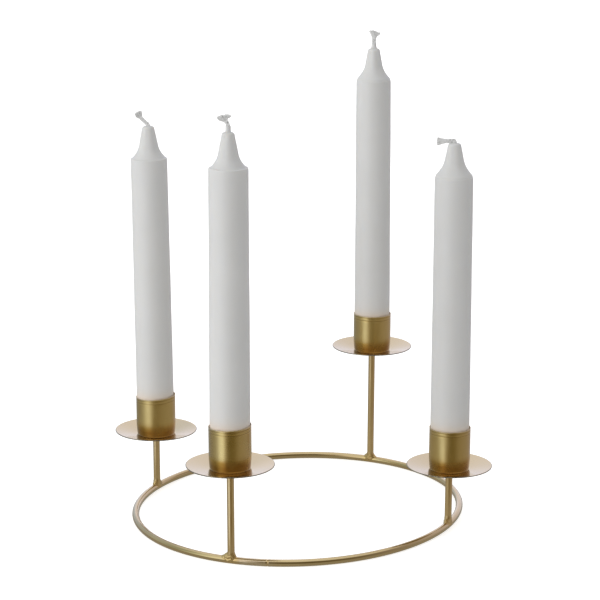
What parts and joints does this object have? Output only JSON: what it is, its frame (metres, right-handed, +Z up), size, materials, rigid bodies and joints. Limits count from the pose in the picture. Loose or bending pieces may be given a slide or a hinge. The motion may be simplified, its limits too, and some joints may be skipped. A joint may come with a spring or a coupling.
{
  "type": "advent ring candle holder with candles",
  "caption": "Brass wire ring that lies on a table, with upright posts of different heights, each holding a dished drip pan, a round cup and a tall white crown candle.",
  "frame": {"origin": "middle of the whole footprint, on the table that the ring lies on", "axes": "+X towards the post on the right, +Y towards the tallest post at the back, +Z up along the posts; the picture looks from the front and 23.5 degrees round to the right"},
  "size_m": [0.2434, 0.2586, 0.2807],
  "materials": {
    "wire": "satin brass plate on drawn wire",
    "pan": "bright rolled sheet",
    "cup": "satin, with fine turned lines under the rim",
    "wax": "smooth white wax with a soft sheen",
    "cotton": "unburnt braided cotton"
  },
  "bodies": {
    "root": {"ring": "wire", "post_right": "wire", "post_back": "wire", "post_left": "wire", "post_front": "wire", "drip_pan_right": "pan", "drip_pan_back": "pan", "drip_pan_left": "pan", "drip_pan_front": "pan", "cup_right": "cup", "cup_back": "cup", "cup_left": "cup", "cup_front": "cup", "candle_right": "wax", "candle_back": "wax", "candle_left": "wax", "candle_front": "wax", "wick_right": "cotton", "wick_back": "cotton", "wick_left": "cotton", "wick_front": "cotton"}
  },
  "joints": []
}
